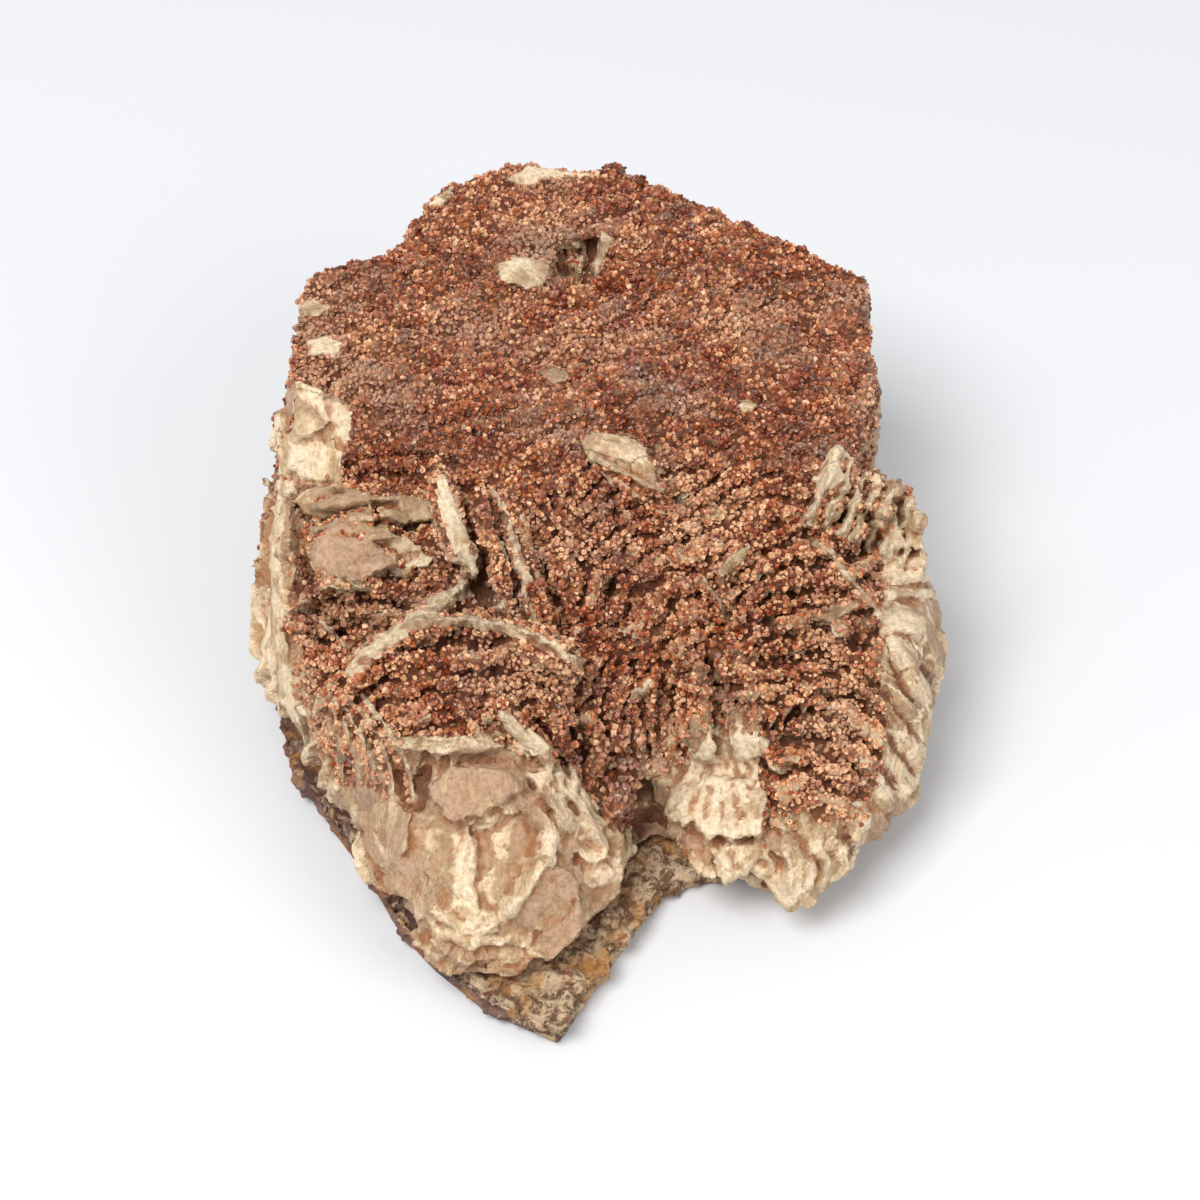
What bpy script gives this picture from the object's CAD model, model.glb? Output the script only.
import math

import bmesh
import bpy
import numpy as np
from mathutils import Matrix, Vector, noise
from mathutils.bvhtree import BVHTree


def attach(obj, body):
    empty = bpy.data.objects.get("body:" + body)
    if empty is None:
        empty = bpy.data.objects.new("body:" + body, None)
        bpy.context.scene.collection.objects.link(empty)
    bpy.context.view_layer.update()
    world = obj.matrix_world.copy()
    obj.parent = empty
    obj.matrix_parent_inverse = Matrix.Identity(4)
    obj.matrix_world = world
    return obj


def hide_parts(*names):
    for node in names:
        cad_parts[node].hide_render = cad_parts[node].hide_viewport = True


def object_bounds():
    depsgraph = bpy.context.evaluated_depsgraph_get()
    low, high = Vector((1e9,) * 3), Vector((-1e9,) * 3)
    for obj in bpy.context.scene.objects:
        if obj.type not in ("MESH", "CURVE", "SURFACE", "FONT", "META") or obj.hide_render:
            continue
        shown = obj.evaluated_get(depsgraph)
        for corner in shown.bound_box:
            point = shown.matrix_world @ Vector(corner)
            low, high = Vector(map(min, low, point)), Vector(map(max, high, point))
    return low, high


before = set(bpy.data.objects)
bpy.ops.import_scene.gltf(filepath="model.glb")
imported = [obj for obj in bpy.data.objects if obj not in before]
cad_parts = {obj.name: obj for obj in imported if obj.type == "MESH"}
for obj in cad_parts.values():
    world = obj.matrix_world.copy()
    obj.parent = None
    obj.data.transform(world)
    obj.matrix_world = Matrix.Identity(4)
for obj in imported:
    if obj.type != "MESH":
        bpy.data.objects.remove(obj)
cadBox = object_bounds()
lowCorner, highCorner = (np.array(corner) for corner in cadBox)
mm = 0.001
noise.seed_set(4)  # noise vectors differ from run to run without it


# shader and geometry node graphs are written as expressions on these two

class Wire:
    def __init__(self, graph, socket):
        self.graph, self.socket = graph, socket

    def maths(self, operation, first, second):
        return self.graph.add("ShaderNodeMath", {"operation": operation}, {0: first, 1: second})

    def __add__(self, other):
        return self.maths("ADD", self, other)

    def __radd__(self, other):
        return self.maths("ADD", other, self)

    def __sub__(self, other):
        return self.maths("SUBTRACT", self, other)

    def __rsub__(self, other):
        return self.maths("SUBTRACT", other, self)

    def __mul__(self, other):
        return self.maths("MULTIPLY", self, other)

    def __rmul__(self, other):
        return self.maths("MULTIPLY", other, self)


class Graph:
    def __init__(self, tree):
        self.tree = tree
        tree.nodes.clear()

    def add(self, kind, settings=None, values=None, out=0):
        node = self.tree.nodes.new(kind)
        for name, value in (settings or {}).items():
            if name == "stops":  # a colour ramp's positions and colours
                while len(node.color_ramp.elements) < len(value):
                    node.color_ramp.elements.new(0.5)
                for element, (position, colour) in zip(node.color_ramp.elements, value):
                    element.position, element.color = position, colour
            else:
                setattr(node, name, value)
        for key, value in (values or {}).items():
            if isinstance(value, Wire):
                self.tree.links.new(value.socket, node.inputs[key])
            else:
                node.inputs[key].default_value = value
        return Wire(self, node.outputs[out]) if node.outputs else None

    def place(self):
        return self.add("ShaderNodeTexCoord", out=3)

    def attribute(self, name):
        return self.add("ShaderNodeAttribute", {"attribute_name": name}, out=2)

    def noise(self, place, scale, detail=4.0, roughness=0.55, distortion=0.0):
        return self.add("ShaderNodeTexNoise", None, {
            "Vector": place, "Scale": scale, "Detail": detail,
            "Roughness": roughness, "Distortion": distortion})

    def ramp(self, factor, stops):
        return self.add("ShaderNodeValToRGB", {"stops": stops}, {"Fac": factor})

    def steps(self, factor, low, high):  # 0 below low, 1 above high, smooth between
        return self.add("ShaderNodeMapRange", {"interpolation_type": "SMOOTHSTEP"}, {
            "Value": factor, "From Min": low, "From Max": high, "To Min": 0.0, "To Max": 1.0})

    def mix(self, factor, first, second, blend="MIX"):
        return self.add("ShaderNodeMix", {"data_type": "RGBA", "blend_type": blend, "clamp_factor": True}, {
            0: factor, 6: first, 7: second}, out=2)

    def paint(self, base, layers):  # lays each colour over the last one, as strong as its mask
        for mask, colour in layers:
            base = self.mix(mask, base, colour)
        return base

    def bump(self, strength, distance, height):
        return self.add("ShaderNodeBump", None, {
            "Strength": strength, "Distance": distance, "Height": height})


def rgba(red, green, blue):  # from the screen's 0 to 255 to linear
    def linear(value):
        value /= 255
        return value / 12.92 if value <= 0.04045 else ((value + 0.055) / 1.055) ** 2.4
    return (linear(red), linear(green), linear(blue), 1.0)


def newFinish(name):
    made = bpy.data.materials.new(name)
    made.use_nodes = True
    return made, Graph(made.node_tree)


def finishWith(graph, values):
    shader = graph.add("ShaderNodeBsdfPrincipled", None, values)
    graph.add("ShaderNodeOutputMaterial", None, {"Surface": shader})


bariteLook = {
    "pale": rgba(246, 224, 190),
    "cream": rgba(216, 188, 148),
    "tan": rgba(178, 146, 110),
    "pink": rgba(198, 162, 132),
    "orange": rgba(184, 136, 92),
    "rust": rgba(154, 88, 46),
    "soil": rgba(104, 54, 30),
    "bed": rgba(190, 126, 80),
    "dust": rgba(150, 126, 102),
    "shade": (0.55, 0.42, 0.3, 1.0),  # multiplied into the finest pores
    "roughness": 0.5,
    "relief": 0.6 * mm,
}


def bariteFinish():
    look = bariteLook
    made, g = newFinish("barite finish")
    place = g.place()
    broad = g.noise(place, 110.0, 5.0, 0.6)
    veins = g.noise(place, 330.0, 6.0, 0.68, 0.8)
    fine = g.noise(place, 1400.0, 5.0, 0.7)
    streaks = g.noise(g.add("ShaderNodeCombineXYZ", None, {
        0: g.attribute("around") * 2.4, 1: g.attribute("down") * 0.3, 2: broad * 2.0}), 1.0, 5.0, 0.7, 0.4)
    coat, stain, deep = g.attribute("cover"), g.attribute("stain"), g.attribute("deep")
    crest, tint = g.attribute("crest"), g.attribute("tint")
    grain = (fine - 0.5) * 0.9
    base = g.ramp(tint + (broad - 0.5) * 1.2 + (streaks - 0.5) * 0.9, [
        (0.0, look["pink"]), (0.3, look["tan"]), (0.55, look["cream"]), (0.85, look["pale"])])
    ground = g.mix(g.steps(veins, 0.46, 0.7), look["soil"], look["bed"])
    base = g.paint(base, [
        (g.steps(veins, 0.54, 0.7) * 0.6, look["pink"]),
        (g.steps(crest + (veins - 0.5) * 0.9, 0.3, 0.9) * 0.7, look["pale"]),
        (g.steps(stain + (veins - 0.5) * 1.5 + grain, 0.45, 1.0) * 0.6, look["orange"]),
        (g.steps(stain + (streaks - 0.5) * 1.3 + grain, 0.7, 1.25) * 0.85, look["rust"]),
        (g.steps(streaks, 0.6, 0.68) * 0.45, look["rust"]),
        (g.steps(coat + (fine - 0.5) * 0.8, 0.3, 0.8), ground),
        (g.steps(deep + (veins - 0.5) * 0.7, 0.45, 1.1) * 0.8, look["soil"]),
        (g.steps(broad, 0.56, 0.72) * coat * 0.35, look["dust"]),
    ])
    shade = g.ramp(fine, [(0.3, look["shade"]), (0.56, (1.0, 1.0, 1.0, 1.0))])
    finishWith(g, {
        "Base Color": g.mix(0.75, base, shade, "MULTIPLY"), "Roughness": look["roughness"],
        "Normal": g.bump(0.9, look["relief"], fine * 0.8 + veins + streaks * 0.9)})
    return made


crystalLook = {
    "deep": rgba(74, 26, 12),
    "brown": rgba(124, 54, 28),
    "red": rgba(156, 74, 38),
    "orange": rgba(188, 116, 68),
    "tan": rgba(220, 172, 128),
    "hollow": rgba(190, 120, 84),  # multiplied into the hollow ends and the feet
    "dust": rgba(216, 176, 138),
    "lint": rgba(150, 124, 106),
    "roughness": 0.28,
    "relief": 0.2 * mm,
}


def crystalFinish():
    look = crystalLook
    made, g = newFinish("vanadinite finish")
    place = g.place()
    tone, tip = g.attribute("tone"), g.attribute("tip")
    base = g.ramp(tone + (g.noise(place, 900.0, 4.0, 0.7) - 0.5) * 0.7, [
        (0.0, look["deep"]), (0.35, look["brown"]), (0.62, look["red"]),
        (0.84, look["orange"]), (1.0, look["tan"])])
    base = g.mix(g.steps(tip, 0.0, 0.6), g.mix(0.9, base, look["hollow"], "MULTIPLY"), base)
    clumps = g.steps(g.noise(place, 420.0, 4.0, 0.65), 0.44, 0.62)
    dust = (g.steps(g.noise(place, 60.0, 5.0, 0.6), 0.48, 0.68) * 0.4
            + g.steps(tip, 0.55, 0.95) * clumps * 0.4
            + g.steps(g.noise(place, 500.0, 4.0, 0.65), 0.52, 0.68) * 0.25)
    lint = g.steps(g.noise(place, 85.0, 6.0, 0.65), 0.48, 0.66) * 0.5
    finishWith(g, {
        "Base Color": g.paint(base, [(dust, look["dust"]), (lint, look["lint"])]),
        "Roughness": look["roughness"] + dust * 0.7, "Specular IOR Level": 0.6,
        "Normal": g.bump(0.5, look["relief"], g.noise(place, 2200.0, 4.0, 0.6))})
    return made


rockLook = {
    "dark": rgba(98, 68, 58),
    "purple": rgba(150, 116, 102),
    "ochre": rgba(188, 130, 66),
    "rust": rgba(126, 70, 40),
    "cream": rgba(220, 192, 156),
    "brown": rgba(120, 86, 60),
    "roughness": 0.85,
    "relief": 0.9 * mm,
}


def rockFinish():
    look = rockLook
    made, g = newFinish("host rock finish")
    place = g.place()
    broad = g.noise(place, 150.0, 6.0, 0.6)
    blots = g.noise(place, 340.0, 6.0, 0.68, 0.6)
    fine = g.noise(place, 1000.0, 6.0, 0.68)
    pale = g.attribute("pale") + (blots - 0.5) * 1.4 + (fine - 0.5) * 0.5
    light = g.mix(g.steps(blots + (fine - 0.5) * 0.8, 0.4, 0.58), look["brown"], look["cream"])
    base = g.paint(g.mix(g.steps(blots, 0.4, 0.6), look["dark"], look["purple"]), [
        (g.steps(pale, 0.3, 0.6), light),
        (g.steps(broad + (fine - 0.5) * 0.4, 0.49, 0.6) * 0.7, look["ochre"]),
        (g.steps(g.noise(place, 480.0, 5.0, 0.65), 0.56, 0.68) * 0.8, look["rust"]),
        (g.steps(fine, 0.58, 0.72) * 0.45, look["cream"]),
    ])
    finishWith(g, {
        "Base Color": base, "Roughness": look["roughness"],
        "Normal": g.bump(1.0, look["relief"], fine + blots * 1.6)})
    return made


def addPiece(name, mesh):
    made = bpy.data.objects.new(name, mesh)
    bpy.context.scene.collection.objects.link(made)
    return made


def pieceFrom(bm, name):  # a new object with the shape, which is then let go
    mesh = bpy.data.meshes.new(name)
    bm.to_mesh(mesh)
    bm.free()
    return addPiece(name, mesh)


def copyOfNode(name, node):  # a merged copy of a CAD node's mesh, free to be reshaped
    bm = bmesh.new()
    bm.from_mesh(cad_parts[node].data)
    bmesh.ops.remove_doubles(bm, verts=bm.verts, dist=1e-7)
    return pieceFrom(bm, name)


def bake(thing):  # applies every modifier
    depsgraph = bpy.context.evaluated_depsgraph_get()
    mesh = bpy.data.meshes.new_from_object(thing.evaluated_get(depsgraph))
    thing.modifiers.clear()
    thing.data = mesh


def remesh(thing, voxel, smoothing):
    cells = thing.modifiers.new("cells", "REMESH")
    cells.mode = "VOXEL"
    cells.voxel_size = voxel
    thing.modifiers.new("soften", "SMOOTH").iterations = smoothing
    bake(thing)


def thinOut(thing, triangles):
    have = sum(len(face.vertices) - 2 for face in thing.data.polygons)
    if have > triangles:
        thing.modifiers.new("thin", "DECIMATE").ratio = triangles / have
        bake(thing)


def pointsOf(mesh):
    places, normals = (np.empty(len(mesh.vertices) * 3) for _ in range(2))
    mesh.vertices.foreach_get("co", places)
    mesh.vertex_normals.foreach_get("vector", normals)
    return places.reshape(-1, 3), normals.reshape(-1, 3)


def movePoints(mesh, places, margin=0.0, floor=0.0):  # to the new places, kept inside the CAD model's box
    places = np.clip(places, lowCorner + margin, highCorner - margin)
    places[:, 2] = np.maximum(places[:, 2], floor)
    mesh.vertices.foreach_set("co", places.ravel())
    mesh.update()
    return places


def setAttribute(mesh, name, values):
    mesh.attributes.new(name, "FLOAT", "POINT").data.foreach_set("value", values)


def smoothStep(value, low, high):
    value = np.clip((value - low) / (high - low), 0.0, 1.0)
    return value * value * (3 - 2 * value)


def noiseField(points, size, seed=0.0):  # one value of soft noise for each point, about -1 to 1
    shift = Vector((seed, seed * 1.7, seed * 0.6))
    return np.array([noise.noise(Vector(p) + shift) for p in points / size])


def flatNoise(across, along, seed=0.0, layer=0.0):
    return noiseField(np.stack([across, along, np.full(len(across), float(layer))], axis=1), 1.0, seed)


def neighbourMeans(mesh, values, rounds):  # each value becomes the mean of its neighbours', again and again
    edges = np.empty(len(mesh.edges) * 2, dtype=np.int32)
    mesh.edges.foreach_get("vertices", edges)
    first, second = edges.reshape(-1, 2).T
    count = len(values)
    degree = np.bincount(edges, minlength=count)[:, None]
    for _ in range(rounds):
        sums = [np.bincount(first, column[second], count) + np.bincount(second, column[first], count)
                for column in values.T]
        values = np.stack(sums, axis=1) / degree
    return values


def broadNormals(mesh, rounds):
    normals = neighbourMeans(mesh, pointsOf(mesh)[1], rounds)
    return normals / np.maximum(np.linalg.norm(normals, axis=1), 1e-6)[:, None]


def hollows(mesh, places, normals, rounds):  # how far each point lies below its smoothed surroundings, in mm
    return ((neighbourMeans(mesh, places, rounds) - places) * normals).sum(axis=1) / mm


def finishPiece(piece, finish, node, sharp=None):
    piece.data.materials.append(finish)
    piece.data.shade_smooth()
    if sharp:
        piece.data.set_sharp_from_angle(angle=math.radians(sharp))
    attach(piece, "root")
    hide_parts(node)


massShape = {
    "voxels": (0.45 * mm, 0.31 * mm),  # before and after the relief is laid on
    "floor": 5.9 * mm,
    "shrink": 1.0 * mm,
    "lift": 1.6 * mm,                  # from the CAD top up to the bed that the crystals stand on
    "bedFront": 12 * mm,               # where the druse's bed starts
    "margins": (0.4 * mm, 0.3 * mm),   # kept free inside the CAD model's box, after each of the two moves
    "warp": ((2.4, 0.35), (0.8, 0.14)),  # size and reach in mm of what makes the drawn outlines rough
    "stacks": (7.0 * mm, 1.3 * mm, 0.25 * mm),  # cell, layer, height
    "facets": ((4.2, 10.0, 1.1, 0.9), (1.9, 5.0, 0.4, 0.5)),  # broken plates: across and down, step, slope
    "grit": ((1.5 * mm, 0.2 * mm), (0.7 * mm, 0.14 * mm)),
    "hearts": ((-16, -12), (24, -12), (0, 34)),  # where the bunches of blades radiate from, x and y in mm
    "clumps": ((2.6 * mm, 0.7 * mm), (1.2 * mm, 0.4 * mm)),
    "rodWay": (0.55, -0.835),
    "rods": ((3.2, 2.3), (1.4, 0.8)),  # breadth and height of bundles and rods in mm
    "flutes": {"great shell": ((15.9, -16.1), 0.17, 0.8)},  # where they meet, angle between two, height
    "rings": "rosette",                # the patch whose rows run round its heart
    "grain": 0.9,                      # how far the coat lifts a plate or an edge, in mm
    "parts": {                         # planes that cut it, place in mm and the way out; triangles to keep
        "barite_back": ((((0, 11.9, 0), (0, -1, 0)),), 190000),
        "barite_left": ((((0, 12, 0), (0, 1, 0)), ((-14.4, 0, 0), (1, 0, 0))), 195000),
        "barite_middle": ((
            ((0, 12, 0), (0, 1, 0)), ((-14.5, 0, 0), (-1, 0, 0)), ((23.1, 0, 0), (1, 0, 0))), 195000),
        "barite_right": ((((0, 12, 0), (0, 1, 0)), ((23, 0, 0), (-1, 0, 0))), 195000),
    },
}

# the relief is drawn on a plane square to a view from the front and 45 degrees above: right and up, in mm
viewWay = Vector((0, -math.sqrt(0.5), math.sqrt(0.5)))
viewMiddle = Vector((0.0, 3.5, 22.0)) * mm
viewDistance = 420
viewFrom = viewMiddle + viewWay * viewDistance * mm

sunk = {  # hollows: depth and outline
    "under the ledges": (2.6, [(-40.2, -0.5), (-35.5, 0.8), (-28, 0), (-23.6, 0.5), (-20.6, 1.9),
        (-23.6, -0.5), (-26.8, -2.9), (-30.7, -5.1), (-33.5, -7), (-36.2, -5.4), (-39.5, -3.5)]),
    "behind the leaf": (1.2, [(-20.6, 2.1), (-18.5, 3.5), (-15.5, 2.7), (-12.7, 0.5), (-11.4, -1.6),
        (-16.1, -1.7), (-19.8, -1.3)]),
    "cavity": (4, [(3.8, -23.6), (5.6, -22.5), (8, -23.6), (8.6, -26.8), (9.1, -30.6), (7.2, -33.5),
        (4.8, -33.5), (2.9, -31.1)]),
    "right cave": (2.6, [(13.7, 12.6), (16.1, 13.9), (19, 13.7), (19.6, 11.8), (16.9, 10.7), (14.2, 11)]),
    "left cave": (2.2, [(8.6, 13.8), (10.7, 14.5), (13.1, 13.7), (12.7, 12.1), (10.2, 11.9)]),
    "small hole": (2.4, [(0.3, 1.9), (1.6, 2.7), (3.2, 1.9), (2.9, 0.4), (1.3, 0), (0.3, 0.7)]),
    "right hole": (2, [(21.7, -2.4), (22.8, -1.7), (24, -2.3), (24.1, -3.6), (22.8, -4.2), (21.7, -3.6)]),
    "pit": (4.6, [(-6.4, 46.9), (-3.4, 48.1), (0, 48.4), (0.9, 45.3), (-1.1, 42.2), (-4.3, 41.4),
        (-6.4, 42.9)]),
    "plate's side": (1.8, [(-27.3, -23), (-22.8, -22.2), (-22.4, -26.5), (-23.6, -28.4), (-26.1, -28.1),
        (-27.3, -25.7)]),
    "box": (1, [(-22.8, -31.1), (-17.7, -30.3), (-10.5, -28.4), (-7.4, -31.5), (-8, -34.8), (-10.7, -38.2),
        (-14.1, -42.6), (-17.4, -42.6), (-21.4, -40.5), (-23.2, -36.4)]),
    "behind the comb": (1.8, [(26.3, 10.7), (27.9, 13.4), (28.4, 9.1), (30.6, 6.4), (32.2, 4.6),
        (30.3, 5.1), (27.6, 7.2)]),
    "under the cascade": (1.6, [(-5.9, -27.6), (-3.8, -26.8), (-0.5, -31.9), (0.5, -35.1), (-1.3, -35.9),
        (-3.5, -33.5)]),
}


def plate(tint, outline, lift=None, way=(0, -1), coat=0):
    return {"tint": tint, "outline": outline, "lift": lift, "way": way, "coat": coat}


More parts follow.
